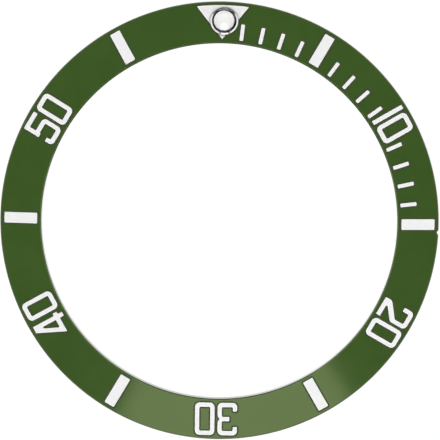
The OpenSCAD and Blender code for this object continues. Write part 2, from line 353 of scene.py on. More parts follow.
def two():
    hook, foot, bend, diagonal = 1.03, 0.65, 1.7, 0.49
    slope = (bend - foot) / INNER
    low = foot - diagonal * math.hypot(1, slope)
    return [
        (0, 0), (DIGIT_W, 0), (DIGIT_W, STROKE_T),
        ((STROKE_T - low) / slope, STROKE_T),
        (DIGIT_W, low + slope * DIGIT_W, TURN_R), (DIGIT_W, DIGIT_H, TURN_R), (0, DIGIT_H, TURN_R),
        *top_hook(hook),
        (INNER, bend), (0, foot, TURN_R),
    ], None


def three():
    hook, nick, arm = 0.8, 0.2, 0.67
    middle, half = DIGIT_H / 2, STROKE_T / 2
    return [
        (0, 0, TURN_R), (DIGIT_W, 0, TURN_R), (DIGIT_W, middle - nick, TURN_R),
        (DIGIT_W - nick, middle), (DIGIT_W, middle + nick, TURN_R),
        (DIGIT_W, DIGIT_H, TURN_R), (0, DIGIT_H, TURN_R),
        *top_hook(hook),
        (INNER, middle + half), (arm, middle + half),
        (arm, middle - half), (INNER, middle - half),
        *foot_hook(hook),
    ], None


def four():
    width, tail, head, bar, tip = 1.95, 0.23, 0.62, 0.41, 0.08
    right = width - tail
    left = right - STROKE_W
    bar_top, tip_y = bar + STROKE_T, bar + tip
    lean = (right - head) / (DIGIT_H - tip_y)
    inset = STROKE_W * math.hypot(1, lean)
    return [
        (left, 0), (right, 0), (right, bar), (width, bar),
        (width, bar_top), (right, bar_top), (right, DIGIT_H),
        (right - head, DIGIT_H), (0, tip_y), (0, bar), (left, bar),
    ], [
        (inset + (bar_top - tip_y) * lean, bar_top), (left, bar_top),
        (left, tip_y + (left - inset) / lean),
    ]


def five():
    hook, bowl, stem = 0.8, 1.94, 1.4
    bowl_low = bowl - STROKE_T
    return [
        (0, 0, TURN_R), (DIGIT_W, 0, TURN_R), (DIGIT_W, bowl, TURN_R), (STROKE_W, bowl),
        (STROKE_W, UNDER_TOP), (DIGIT_W, UNDER_TOP),
        (DIGIT_W, DIGIT_H), (0, DIGIT_H), (0, stem), (STROKE_W, stem),
        (STROKE_W, bowl_low), (INNER, bowl_low), *foot_hook(hook),
    ], None


print("a digit is", DIGIT_W, "mm wide and", round(DIGIT_H, 2), "high")

# %% Place every mark on the ring
BAR_W = 0.96
BAR_MARGIN = 0.35
BAR_CORNER_R = 0.08
TICK_W = 0.36
TICK_LEN = 1.45
TICK_MARGIN = 0.31
TICK_CORNER_R = 0.1
MINUTE_DEG = 6
TENS = {10: one, 20: two, 30: three, 40: four, 50: five}


def minute_angle(minute):
    return -math.radians(MINUTE_DEG * minute)


def placed(corners, hole, minute, left=0.0, low=0.0):
    """The outlines of a mark at its minute, first the outer one and then its hole's."""
    lines = [rounded([(*corner, END_R)[:3] for corner in line]) for line in (corners, hole) if line]
    lines[1:] = [line.as_hole() for line in lines[1:]]
    return [line.turned(minute_angle(minute), (left, low)) for line in lines]


marks = {}
low = OPENING_R + BAR_MARGIN
for minute in range(5, 60, 10):
    bar = box_corners(-BAR_W / 2, low, BAR_W / 2, OUTSIDE_R - BAR_MARGIN, BAR_CORNER_R)
    marks[f"bar_inlay_{minute}"] = placed(bar, None, minute)
low = OPENING_R + TICK_MARGIN
for minute in (m for m in range(1, 15) if m % 5):
    tick = box_corners(-TICK_W / 2, low, TICK_W / 2, low + TICK_LEN, TICK_CORNER_R)
    marks[f"tick_inlay_{minute}"] = placed(tick, None, minute)
low = OPENING_R + DIGIT_MARGIN
for minute, digit in TENS.items():
    pair = max(corner[0] for corner in digit()[0]) + DIGIT_GAP + DIGIT_W
    marks[f"numeral_{minute}_{digit.__name__}"] = placed(*digit(), minute, -pair / 2, low)
    marks[f"numeral_{minute}_zero"] = placed(*zero(), minute, pair / 2 - DIGIT_W, low)
print(len(marks), "marks with", sum(len(line.points) for lines in marks.values() for line in lines),
      "points")

# %% [markdown]
# ## The pearl's place, and the triangle that it parts
#
# The pearl stands square to the sloped face, a little clockwise of the triangle's middle.
# Its hole breaks through both sides of the triangle, which leaves a body with two wings and a
# loose tip. A boolean could cut this, but it would drop the exact normals. Here the crossings
# of the hole with the two sides are found by halving an interval, and the outlines are put
# together from runs of the triangle and arcs of the hole, with the same number of points at
# every level, so that they join into strips as all other marks do.

# %% The pearl's axis and its hole
CUP_R = 1.21
PEARL_R = OUTSIDE_R - 1.71
PEARL_ASIDE = 0.15
PEARL_TURN = math.asin(PEARL_ASIDE / PEARL_R)
ROUNDS = 8
pearl_place = (Matrix.Rotation(-PEARL_TURN, 4, "Z")
               @ Matrix.Translation((0, PEARL_R, height_at(PEARL_R)))
               @ Matrix.Rotation(-FACE_FALL, 4, "X"))
pearl_turn = pearl_place.to_3x3()


def on_hole(angle, radius, depth):
    """Where the pearl's hole of that radius meets the face lowered by a depth."""
    w = 0.0
    for _ in range(ROUNDS):
        p = pearl_place @ Vector((*polar(radius, angle), w))
        w -= (p.z - face_height(p.x, p.y) + depth) * math.cos(FACE_FALL)
    return np.array(p)


def hole_ray(angle):
    """Direction out of the hole."""
    return np.array(pearl_turn @ Vector((*polar(1, angle), 0)))


print("pearl at, in mm:", [round(v, 3) for v in pearl_place.to_translation()])

# %% Where the hole crosses the triangle
TRIANGLE_W = 4.54
TRIANGLE_TOP_R = OUTSIDE_R - 0.31
TRIANGLE_TIP_R = OPENING_R + 0.36
TRIANGLE_CORNER_R = 0.08
EDGE_PIECES = 24
FINE_SIDE = 0.12
CLEAR_OF_HOLE = 1.26
FILL_HOLE_R = 1.13
QUARTER = math.pi / 2
FACING_RIGHT = math.radians(-39)
FACING_LEFT = math.radians(219)
PAST_TIP = 3 * QUARTER + 0.3
HALVINGS = 40
half_angle = math.asin(TRIANGLE_W / 2 / TRIANGLE_TOP_R)
corners = [(0, TRIANGLE_TIP_R, TRIANGLE_CORNER_R)]
for k in range(EDGE_PIECES + 1):
    a = QUARTER - half_angle + 2 * half_angle * k / EDGE_PIECES
    corners.append((*polar(TRIANGLE_TOP_R, a), TRIANGLE_CORNER_R if k in (0, EDGE_PIECES) else 0))
triangle = rounded(corners, longest=FINE_SIDE)


def side_gap(side, angle, radius, depth, grow):
    """How far a point of the hole lies outside the triangle's right (1) or left (-1) side."""
    x, y, _ = on_hole(angle, radius, depth)
    corner = (TRIANGLE_TOP_R * math.sin(half_angle), TRIANGLE_TOP_R * math.cos(half_angle))
    along = unit(np.array((corner[0], corner[1] - TRIANGLE_TIP_R)))
    return side * x * along[1] - (y - TRIANGLE_TIP_R) * along[0] - grow


def crossings(radius, depth, grow):
    """Angles of the hole at the right side's lower and upper crossing, and at the left side's
    upper and lower one, in rising order."""
    found = []
    for side, start, end in ((1, -QUARTER, FACING_RIGHT), (1, FACING_RIGHT, QUARTER),
                             (-1, QUARTER, FACING_LEFT), (-1, FACING_LEFT, PAST_TIP)):
        sign = side_gap(side, start, radius, depth, grow) > 0
        for _ in range(HALVINGS):
            middle = (start + end) / 2
            if (side_gap(side, middle, radius, depth, grow) > 0) == sign:
                start = middle
            else:
                end = middle
        found.append((start + end) / 2)
    return found


def kept_runs():
    """Points of the triangle that stay clear of the hole: those of the body, then the tip's."""
    flat = pearl_place.inverted()
    clear = []
    for x, y in triangle.points:
        local = flat @ Vector((x, y, face_height(x, y)))
        clear.append(math.hypot(local.x, local.y) > CLEAR_OF_HOLE)
    count = len(clear)
    runs = []
    for start in (i for i in range(count) if clear[i] and not clear[i - 1]):
        run = [start]
        while clear[(run[-1] + 1) % count]:
            run.append((run[-1] + 1) % count)
        runs.append(run)
    return sorted(runs, key=lambda run: -triangle.points[run][:, 1].max())


body_run, tip_run = kept_runs()
print("crossings in degrees:", [round(math.degrees(a), 1) for a in crossings(FILL_HOLE_R, 0, 0)])

# %% The triangle's lines with the hole
ARC_POINTS = 40
INLAY_CLEARANCE = 0.05
SEAT_R = 1.17
SEAT_FLARE = 0.02
SEAT_LIP_R = 0.03


def hole_arc(start, end, radius, depth, out):
    """Points of the hole and their directions: out of the hole (1), or into it (-1)."""
    angles = [start + (end - start) * k / ARC_POINTS for k in range(ARC_POINTS + 1)]
    return [on_hole(a, radius, depth)[:2] for a in angles], [out * unit(hole_ray(a)[:2]) for a in angles]


def chained(grow, *parts):
    """One line from runs of the triangle and arcs of the hole, each (points, directions)."""
    grown = triangle.grown(grow)
    points, rays = [], []
    for part in parts:
        run_points, run_rays = part if isinstance(part, tuple) else (grown[part], triangle.normals[part])
        points += list(run_points)
        rays += list(run_rays)
    return np.array(points), np.array(rays)


def seat_line(grow, depth):
    """The pocket's line round the triangle and the hole together."""
    radius = SEAT_R + SEAT_FLARE * (grow - INLAY_CLEARANCE) / SEAT_LIP_R
    right_low, right_high, left_high, left_low = crossings(radius, depth, grow)
    left = hole_arc(left_high, left_low, radius, depth, 1)
    right = hole_arc(right_low - 2 * math.pi, right_high - 2 * math.pi, radius, depth, 1)
    return chained(grow, body_run, left, tip_run, right)


def body_line(grow, depth):
    """The filling's line round the body, which ends at the hole."""
    radius = FILL_HOLE_R - grow
    _, right_high, left_high, _ = crossings(radius, depth, grow)
    return chained(grow, body_run, hole_arc(left_high, right_high, radius, depth, -1))


def tip_line(grow, depth):
    """The filling's line round the tip below the hole."""
    radius = FILL_HOLE_R - grow
    right_low, _, _, left_low = crossings(radius, depth, grow)
    return chained(grow, tip_run, hole_arc(right_low, left_low - 2 * math.pi, radius, depth, -1))


print("points:", len(body_line(0, 0)[0]), "round the body,", len(tip_line(0, 0)[0]), "round the tip")

# %% [markdown]
# ## Effects that several materials share
#
# Real finishes have the same few things in common: a fine grain, a slow drift of colour and the
# rings that a tool leaves. Edges that differ from the middle are among them too, though here
# they mostly carry painted shade and painted highlights, and the foot of the pearl's flange
# carries painted shade. Each is a node group here, built once with named inputs, and placed in
# each material with its own values. The groups give values and colours only, and the shaders
# stay in the materials. Sizes in them are in metres, so a scale of 5000 is a grain of a fifth
# of a millimetre.

# %% Helpers for node trees
def put(tree, socket, value):
    """Links a socket to an input, or sets the input to a value."""
    if isinstance(value, bpy.types.NodeSocket):
        tree.links.new(value, socket)
    else:
        socket.default_value = value


def node(tree, kind, inputs=None, **settings):
    """A node with its settings, and its inputs linked or set."""
    made = tree.nodes.new("ShaderNode" + kind)
    for key, value in settings.items():
        setattr(made, key, value)
    for key, value in (inputs or {}).items():
        put(tree, made.inputs[key], value)
    return made


def wire(tree, made, **values):
    """Links or sets inputs of a node. An underscore in a name stands for a space."""
    for key, value in values.items():
        put(tree, made.inputs[key.replace("_", " ")], value)
    return made


def group_in(tree, group, **values):
    """The outputs of a group placed in a tree."""
    return wire(tree, node(tree, "Group", node_tree=group), **values).outputs


def open_group(name, inputs, **outputs):
    """A new shader group with its inputs {name: value} and outputs name=kind."""
    group = bpy.data.node_groups.new(name, "ShaderNodeTree")
    for label, value in inputs.items():
        kind = "NodeSocketColor" if isinstance(value, tuple) else "NodeSocketFloat"
        group.interface.new_socket(name=label, in_out="INPUT", socket_type=kind).default_value = value
    for label, kind in outputs.items():
        group.interface.new_socket(name=label, in_out="OUTPUT", socket_type="NodeSocket" + kind)
    print("group:", name)
    return group, group.nodes.new("NodeGroupInput").outputs, group.nodes.new("NodeGroupOutput")


def maths(tree, operation, a, b=0.0):
    return node(tree, "Math", {0: a, 1: b}, operation=operation).outputs[0]


def times(tree, a, b):
    return maths(tree, "MULTIPLY", a, b)


def ramp(tree, value, low, high, start=0.0, end=1.0, **settings):
    """Turns start to end of a value into low to high."""
    inputs = {"Value": value, "From Min": start, "From Max": end, "To Min": low, "To Max": high}
    return node(tree, "MapRange", inputs, **settings).outputs[0]


def mix_colour(tree, factor, a, b):
    return node(tree, "Mix", {0: factor, 6: a, 7: b}, data_type="RGBA").outputs[2]


def mix_value(tree, factor, a, b):
    return node(tree, "Mix", {0: factor, 2: a, 3: b}).outputs[0]


def place(tree):
    return node(tree, "TexCoord").outputs["Object"]


def soft_noise(tree, scale, detail, roughness=0.5):
    inputs = {"Vector": place(tree), "Scale": scale, "Detail": detail, "Roughness": roughness}
    return node(tree, "TexNoise", inputs).outputs[0]


# %% Group: grain of a given size, as a height and as a mask of its coarser spots
grain, into, out = open_group("grain", {"Scale": 8000.0, "Contrast": 0.5}, Height="Float", Mask="Float")
cells = node(grain, "TexVoronoi", {"Vector": place(grain), "Scale": into["Scale"]}).outputs["Distance"]
fine = times(grain, soft_noise(grain, into["Scale"], 3.0, 0.6), 0.7)
coarse = soft_noise(grain, times(grain, into["Scale"], 0.2), 2.0)
reach = times(grain, into["Contrast"], 0.3)
low, high = maths(grain, "SUBTRACT", 0.5, reach), maths(grain, "ADD", 0.5, reach)
wire(grain, out, Height=maths(grain, "ADD", fine, times(grain, cells, 0.45)),
     Mask=ramp(grain, coarse, 0.0, 1.0, low, high))

# %% Group: drift between two colours in patches of a given size
WHITE = (1.0, 1.0, 1.0, 1.0)
drift, into, out = open_group("colour_drift", {"Colour": WHITE, "Other colour": (0.5, 0.5, 0.5, 1.0),
                                               "Scale": 300.0, "Amount": 1.0}, Colour="Color")
spread = ramp(drift, soft_noise(drift, into["Scale"], 4.0, 0.55), 0.0, 1.0, 0.3, 0.7)
wire(drift, out, Colour=mix_colour(drift, times(drift, spread, into["Amount"]), into["Colour"],
                                   into["Other colour"]))

# %% Group: distance from the pearl's leaning axis, and the place seen from it
from_pearl, into, out = open_group("pearl_distance", {}, Distance="Float", Place="Vector")
seen = node(from_pearl, "Mapping", {
    "Vector": place(from_pearl), "Location": pearl_place.to_translation() * MM,
    "Rotation": pearl_place.to_euler()}, vector_type="TEXTURE").outputs[0]
x, y, _ = node(from_pearl, "SeparateXYZ", {0: seen}).outputs
square = maths(from_pearl, "ADD", times(from_pearl, x, x), times(from_pearl, y, y))
wire(from_pearl, out, Distance=maths(from_pearl, "SQRT", square), Place=seen)

# %% Group: the fine rings of a lathe about the pearl's axis
rings, into, out = open_group("turned_rings", {"Rings per metre": 20000.0, "Wander": 0.3}, Height="Float")
pearl = group_in(rings, from_pearl)
wander = node(rings, "TexNoise", {"Vector": pearl["Place"], "Scale": 900.0, "Detail": 2.0}).outputs[0]
phase = maths(rings, "ADD", times(rings, pearl["Distance"], into["Rings per metre"]),
              times(rings, wander, into["Wander"]))
lines = node(rings, "TexNoise", {"W": phase, "Scale": 1.0, "Detail": 3.0, "Roughness": 0.7},
             noise_dimensions="1D").outputs[0]
wire(rings, out, Height=lines)

# %% Group: painted shade, a dark line at the foot of the pearl's flange
foot_shade, into, out = open_group("foot_shade", {"Amount": 0.8, "Reach": 0.0001}, Mask="Float")
distance = group_in(foot_shade, from_pearl)["Distance"]
end = maths(foot_shade, "ADD", into["Reach"], CUP_R * MM)
fade = ramp(foot_shade, distance, 1.0, 0.0, CUP_R * MM, end, interpolation_type="SMOOTHSTEP")
wire(foot_shade, out, Mask=times(foot_shade, fade, into["Amount"]))

# %% Group: the edge value of the mesh, broken up a little so that it doesn't look ruled
edge_band, into, out = open_group("edge_band", {"Amount": 1.0, "Breakup": 0.3, "Scale": 3000.0},
                                  Mask="Float")
value = node(edge_band, "Attribute", attribute_name="edge").outputs["Fac"]
uneven = times(edge_band, soft_noise(edge_band, into["Scale"], 3.0), into["Breakup"])
kept = times(edge_band, value, maths(edge_band, "SUBTRACT", 1.0, uneven))
wire(edge_band, out, Mask=times(edge_band, kept, into["Amount"]))

# %% [markdown]
# ## Finishes
#
# Every finish starts in the same way: a base colour that drifts between two, and a mask of the
# edges that the mesh carries. From there each goes its own way. What is the same all over a
# surface, such as how strongly it bends light, is set on the shader itself.

# %% Helpers for materials
def open_material(name, middle, other, patches, band):
    """A new material, its Principled shader, a colour that drifts between two, and the mask of
    its edges. patches is (scale, amount), and band is (amount, breakup, scale)."""
    material = bpy.data.materials.new(name)
    material.use_nodes = True
    tree = material.node_tree
    base = group_in(tree, drift, Colour=middle, Other_colour=other, Scale=patches[0], Amount=patches[1])
    edge = group_in(tree, edge_band, Amount=band[0], Breakup=band[1], Scale=band[2])
    print("material:", name)
    return material, tree, tree.nodes["Principled BSDF"], base[0], edge[0]


def bump(tree, shader, height, distance):
    relief = node(tree, "Bump", {"Height": height, "Distance": distance, "Strength": 1.0})
    wire(tree, shader, Normal=relief.outputs[0])


def rough_grain(tree, shader, scale, contrast, low, high, relief=0.0):
    """Roughness between two values, and a relief in metres, both from one grain."""
    spots = group_in(tree, grain, Scale=scale, Contrast=contrast)
    wire(tree, shader, Roughness=ramp(tree, spots["Mask"], low, high))
    if relief:
        bump(tree, shader, spots["Height"], relief)


# %% [markdown]
# ## Green glaze
#
# The face is glossy green with a warm reflection, smooth enough that the edge of a lamp shows
# in it as a soft line. The colour drifts between two close greens, and a very shallow swell of
# the surface keeps the reflection from looking like plastic. A clear coat over dull green
# could give such a gloss too. Here one surface does both: its high index of refraction gives
# the gloss, and a tint makes the reflection warm. The walls and floors of the pockets and the
# ground chamfers are duller, as ground ceramic is, and their colour is darkened as painted
# shade, which draws the thin dark line that runs round every mark and along both edges of the
# ring. The same painted shade darkens the face round the foot of the pearl's flange.

# %% Material: green glaze
# Painted shade: the darker green on the walls and floors of the pockets, on the chamfers and round the
# pearl's flange.
PAINTED_SHADE_GREEN = (0.007, 0.015, 0.004, 1)
GROUND_ROUGHNESS = 0.8
glaze, tree, shader, base, band = open_material(
    "green_glaze", (0.0395, 0.0875, 0.0147, 1), (0.0463, 0.0985, 0.0168, 1),
    (260.0, 1.0), (0.85, 0.3, 2500.0))
foot = group_in(tree, foot_shade, Amount=0.97, Reach=0.00016)[0]
edge = maths(tree, "MAXIMUM", band, foot)
gloss = ramp(tree, group_in(tree, grain, Scale=5200.0, Contrast=0.8)["Mask"], 0.09, 0.13)
matt = ramp(tree, edge, 0.0, 1.0, 0.5, 0.85)
wire(tree, shader, Base_Color=mix_colour(tree, edge, base, PAINTED_SHADE_GREEN),
     Roughness=mix_value(tree, matt, gloss, GROUND_ROUGHNESS), IOR=1.8, Specular_Tint=(0.85, 1.0, 0.6, 1))
bump(tree, shader, soft_noise(tree, 700.0, 2.0), 0.0000012)

# %% [markdown]
# ## Silver of the fillings
#
# The fillings look like a dense pale paint with metal in it: grainy and rather dull, with a
# painted highlight, a little brighter line along their rounded edges. One function makes both
# kinds. The triangle's is greyer and coarser, and carries painted shade near the pearl's foot.

# %% Materials: silver fillings
# Painted highlight along the edges of the fillings, and painted shade near the pearl's foot.
PAINTED_HIGHLIGHT_SILVER = (0.95, 0.95, 0.95, 1)
SHADED_SILVER = (0.1, 0.09, 0.1, 1)


def silver_fill(name, middle, other, grain_scale, foot_amount=0.0):
    """A pale metallic filling, grainy in the middle, with a painted highlight along its edges."""
    material, tree, shader, base, edge = open_material(name, middle, other, (2600.0, 0.8),
                                                       (0.9, 0.35, 4000.0))
    colour = mix_colour(tree, edge, base, PAINTED_HIGHLIGHT_SILVER)
    if foot_amount:
        foot = group_in(tree, foot_shade, Amount=foot_amount, Reach=0.00022)[0]
        colour = mix_colour(tree, foot, colour, SHADED_SILVER)
    wire(tree, shader, Base_Color=colour, Metallic=0.15, IOR=1.45)
    rough_grain(tree, shader, grain_scale, 0.6, 0.42, 0.62, 0.000004)
    return material


silver = silver_fill("silver_fill", (0.88, 0.88, 0.88, 1), (0.845, 0.845, 0.85, 1), 9000.0)
triangle_silver = silver_fill("triangle_silver", (0.88, 0.86, 0.875, 1), (0.79, 0.77, 0.785, 1),
                              7000.0, 0.52)

# %% [markdown]
# ## Polished steel
#
# The pearl's cup is turned and polished, so it mirrors the room, and the lathe's rings only
# blur it a little. They are much too fine for the mesh, so a bump and the roughness show
# them. The edge value is painted shade here: it turns the metal nearly black and dull inside
# the rim.

# %% Material: polished steel
# Painted shade: near-black, dull steel inside the rim, most at the lower right.
PAINTED_SHADE_STEEL = (0.004, 0.004, 0.005, 1)
PAINTED_SHADE_ROUGHNESS = 0.6
steel, tree, shader, base, painted_shade = open_material(
    "cup_steel", (0.84, 0.84, 0.855, 1), (0.72, 0.72, 0.735, 1), (1500.0, 0.6), (1.0, 0.03, 2500.0))
height = group_in(tree, rings, Rings_per_metre=60000.0, Wander=0.5)[0]
gloss = ramp(tree, height, 0.06, 0.18)
wire(tree, shader, Base_Color=mix_colour(tree, painted_shade, base, PAINTED_SHADE_STEEL),
     Roughness=mix_value(tree, painted_shade, gloss, PAINTED_SHADE_ROUGHNESS), Metallic=1.0)
bump(tree, shader, height, 0.0000002)

# %% [markdown]
# ## Luminous paste
#
# The paste is a white powder in a binder, so it is rough, almost without gloss, and finely
# uneven. By day it gives no light of its own, so a plain white surface is enough. Its outer
# ring is a little whiter, a painted highlight that makes up for the shade of the cup's rim.

# %% Material: luminous paste
lume, tree, shader, base, edge = open_material(
    "lume_paste", (0.97, 0.97, 0.96, 1), (0.93, 0.93, 0.92, 1), (5000.0, 0.8), (1.0, 0.1, 4000.0))
# Painted highlight: the outer ring of the paste is whiter.
wire(tree, shader, Base_Color=mix_colour(tree, edge, base, (1.0, 1.0, 0.99, 1)))
rough_grain(tree, shader, 12000.0, 0.7, 0.75, 0.95, 0.00001)

# %% [markdown]
# ## Clear lens
#
# The lens is clear, with a faint haze in its polish and a dark side where it meets the cup, which is
# painted shade.
# Glass in Cycles throws a hard dark shadow, so for shadow and diffuse rays it is simply
# transparent, and the paste below it stays lit. Light Path stays in the material itself.

# %% Material: clear lens
# Painted shade: the near-black side of the lens.
glass, tree, shader, base, edge = open_material(
    "lens_glass", WHITE, (0.97, 0.98, 0.97, 1), (1200.0, 0.7), (1.0, 0.05, 2500.0))
wire(tree, shader, Base_Color=mix_colour(tree, edge, base, (0.02, 0.02, 0.022, 1)),
     Transmission_Weight=1.0, IOR=1.49)
rough_grain(tree, shader, 9000.0, 0.5, 0.02, 0.07)
rays = node(tree, "LightPath").outputs
soft = maths(tree, "MAXIMUM", rays["Is Shadow Ray"], rays["Is Diffuse Ray"])
through = node(tree, "BsdfTransparent", {"Color": WHITE}).outputs[0]
both = node(tree, "MixShader", {0: soft, 1: shader.outputs[0], 2: through}).outputs[0]
wire(tree, tree.nodes["Material Output"], Surface=both)

# %% [markdown]
# ## Adhesive film
#
# The underside isn't in the photograph, so this finish is a guess at a usual bonding film:
# yellowish, crinkled like paper, and darker along its cut edges.

# %% Material: adhesive film
glue, tree, shader, base, edge = open_material(
    "film_glue", (0.72, 0.66, 0.5, 1), (0.62, 0.54, 0.37, 1), (420.0, 0.9), (0.6, 0.5, 1500.0))
wire(tree, shader, Base_Color=mix_colour(tree, edge, base, (0.35, 0.29, 0.18, 1)))
rough_grain(tree, shader, 2600.0, 0.8, 0.35, 0.6, 0.00001)

# %% [markdown]
# ## From shell to piece
#
# A shell becomes a mesh in metres, with its edge values as an attribute and its exact normals
# as custom ones. Each piece stands for one node of the CAD model and rides on the part.

# %% Pieces
def add_object(name, data):
    made = bpy.data.objects.new(name, data)
    bpy.context.scene.collection.objects.link(made)
    return made


def mesh_of(name, shell, material):
    mesh = bpy.data.meshes.new(name)
    mesh.from_pydata([tuple(MM * v for v in p) for p in shell.points], [], shell.faces)
    mesh.materials.append(material)
    return mesh


def make_piece(name, shell, material, cad_node):
    """A piece that stands for a CAD node."""
    mesh = mesh_of(name, shell, material)
    mesh.polygons.foreach_set("use_smooth", [True] * len(mesh.polygons))
    mesh.attributes.new("edge", "FLOAT", "POINT").data.foreach_set("value", shell.edge)
    mesh.normals_split_custom_set([Vector(n) for n in shell.normals])
    piece = add_object(name, mesh)
    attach(piece, "root")
    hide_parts(cad_node)
    print(name + ":", len(shell.points), "points,", len(shell.faces), "faces")


# %% [markdown]
# ## The ring
#
# The ring is turned, then engraved. A Screw modifier and booleans could do the same, but would
# lose the exact normals and the edge values, so it is built from rows here. Its outer and
# inner walls, with a ground chamfer at each edge, are spun from the section. A V-shaped notch
# near minute fifteen runs down the rim, so the outer wall is drawn in by a depth that depends
# on the angle. The face is filled with triangles between its two circles, the pockets and a
# loose net of points. Every pocket has a rounded lip, an upright wall and a floor that
# follows the face.

# %% The notch
NOTCH_ANGLE = QUARTER + minute_angle(15.35)
NOTCH_HALF_W = 0.225
NOTCH_DEPTH = 0.15
NOTCH_SOFT = 0.015
NOTCH_BLEND = 0.04
NOTCH_STEP = 0.05
NOTCH_STEPS = 22
NOTCH_REACH = math.radians(1.3)
AROUND = 720


def notch_depth(angle):
    """How far the rim is drawn in at an angle."""
    s = OUTSIDE_R * math.remainder(angle - NOTCH_ANGLE, 2 * math.pi)
    if abs(s) > 2 * NOTCH_HALF_W:
        return 0.0
    rise = 1 - math.hypot(s, NOTCH_SOFT) / NOTCH_HALF_W
    return NOTCH_DEPTH * (rise + math.hypot(rise, NOTCH_BLEND)) / 2


def no_notch(angle):
    return 0.0


even_angles = (2 * math.pi * k / AROUND for k in range(-AROUND // 2, AROUND // 2))
ring_angles = [a for a in even_angles if abs(a - NOTCH_ANGLE) > NOTCH_REACH]
ring_angles += [NOTCH_ANGLE + math.radians(NOTCH_STEP * k) for k in range(-NOTCH_STEPS, NOTCH_STEPS + 1)]
ring_angles.sort()
print("the ring's walls have", len(ring_angles), "points round")

# %% Walls and chamfers
FACE_CHAMFER = 0.09
FOOT_CHAMFER = 0.08
SOFT_R = 0.03
RUN_IN = 1.0
# Edge values of the walls, which the glaze paints as shade, strongest near the chamfers.
WALL_EDGE = 0.7
WALL_MIDDLE = 0.1
WALL_BAND = 0.06
EDGE_STRIP = 0.035
SMALL_TURN = 1e-4


def wall_line(wall_r, inward):
    """The section of one wall with its chamfers. inward is -1 at the rim and 1 at the opening."""
    foot, top, run = (wall_r + inward * step for step in (FOOT_CHAMFER, FACE_CHAMFER, RUN_IN))
    corners = [(run, FILM_T, 0), (foot, FILM_T, SOFT_R), (wall_r, FILM_T + FOOT_CHAMFER, SOFT_R),
               (wall_r, height_at(wall_r) - FACE_CHAMFER, SOFT_R), (top, height_at(top), SOFT_R),
               (run, height_at(run), 0)]
    return rounded(corners[::-inward], closed=False, longest=FINE_SIDE)


def wall_rows(shell, line, cut_at):
    """Rows of one wall of the ring, from the section's line without its two ends."""
    rows, normals = [], []
    for (r, z), (nr, nz) in zip(line.points, line.normals):
        if min(r - OPENING_R, OUTSIDE_R - r) > FACE_CHAMFER + SOFT_R:
            continue
        low, high = FILM_T + FOOT_CHAMFER + WALL_BAND, height_at(r) - FACE_CHAMFER - WALL_BAND
        climbs = SLOPE if z > FILM_T + 2 * FOOT_CHAMFER else 0.0
        points, rays = [], []
        for a in ring_angles:
            cut = cut_at(a)
            change = (cut_at(a + SMALL_TURN) - cut_at(a - SMALL_TURN)) / (2 * SMALL_TURN)
            turn = change * (nr - climbs * nz) / (r - cut)
            c, s = math.cos(a), math.sin(a)
            points.append(((r - cut) * c, (r - cut) * s, z + cut * climbs))
            rays.append(unit(np.array((nr * c - turn * s, nr * s + turn * c, nz))))
        rows.append(shell.row(points, WALL_MIDDLE if low < z < high else WALL_EDGE))
        normals.append(rays)
    shell.skin(rows, normals)
    return rows


def lowered(points, depth):
    """Points of the face, set lower by a depth."""
    return [(x, y, face_height(x, y) - depth) for x, y in points]


def edge_row(shell, r, cut_at):
    """A row on the face just inside its chamfer, where the painted shade of the edge ends."""
    return shell.row(lowered([polar(r - cut_at(a), a) for a in ring_angles], 0.0))


def normals_at(shell, row):
    return [face_normal(*shell.points[i][:2]) for i in row]


ring = Shell()
rim_rows = wall_rows(ring, wall_line(OUTSIDE_R, -1), notch_depth)
bore_rows = wall_rows(ring, wall_line(OPENING_R, 1), no_notch)
outer_row = edge_row(ring, OUTSIDE_R - FACE_CHAMFER - EDGE_STRIP, notch_depth)
inner_row = edge_row(ring, OPENING_R + FACE_CHAMFER + EDGE_STRIP, no_notch)
for low, high in ((rim_rows[-1], outer_row), (inner_row, bore_rows[0])):
    ring.strip(low, high, normals_at(ring, low), normals_at(ring, high))
print("walls:", len(ring.faces), "faces")

# %% Pockets with rounded lips
# Pockets and the pearl's hole carry the edge value 1, which the glaze paints as shade.
POCKET_DEPTH = 0.18
LIP_R = 0.055
LIP_STEPS = 4
HOLE_R = 1.11
HOLE_AROUND = 120
lip_angles = [QUARTER * k / LIP_STEPS for k in range(LIP_STEPS + 1)]


def leaning(points, rays, lift):
    """Normals between level, along the rays, and square to the face."""
    return [math.cos(lift) * np.array((*ray, 0.0)) + math.sin(lift) * face_normal(*p)
            for p, ray in zip(points, rays)]


def side_rows(shell, line_at, levels, out):
    """The side of a mark, and its first and last row. line_at(grow, depth) gives its line and
    rays, a level is (grow, depth, lift, edge), and out is 1 for a filling and -1 for a pocket."""
    rows, normals = [], []
    for grow, depth, lift, edge in levels:
        points, rays = line_at(grow, depth)
        rows.append(shell.row(lowered(points, depth), edge))
        normals.append(leaning(points, out * rays, lift))
    shell.skin(rows, normals)
    return rows[0], rows[-1]


def pocket(shell, line_at, lip_r):
    """Lip and wall of a pocket, and its top and bottom row."""
    levels = [(INLAY_CLEARANCE + lip_r * (1 - math.cos(a)), lip_r * (1 - math.sin(a)), a, 1.0)
              for a in reversed(lip_angles)]
    return side_rows(shell, line_at, levels + [(INLAY_CLEARANCE, POCKET_DEPTH, 0.0, 1.0)], -1)


def turn_in(count):
    """The angles of a full turn in equal steps."""
    return [2 * math.pi * k / count for k in range(count)]


lips = []
for lines in marks.values():
    ends = [pocket(ring, line.at, LIP_R) for line in lines]
    lips += [top for top, _ in ends]
    ring.fill([bottom for _, bottom in ends], normal=face_normal)
seat_top, seat_bottom = pocket(ring, seat_line, SEAT_LIP_R)
lips.append(seat_top)
hole_angles = turn_in(HOLE_AROUND)
hole_top = ring.row([on_hole(a, HOLE_R, POCKET_DEPTH) for a in hole_angles], 1.0)
ring.fill([seat_bottom, hole_top], normal=face_normal)
print("pockets:", len(lips), "lips,", len(ring.faces), "faces")


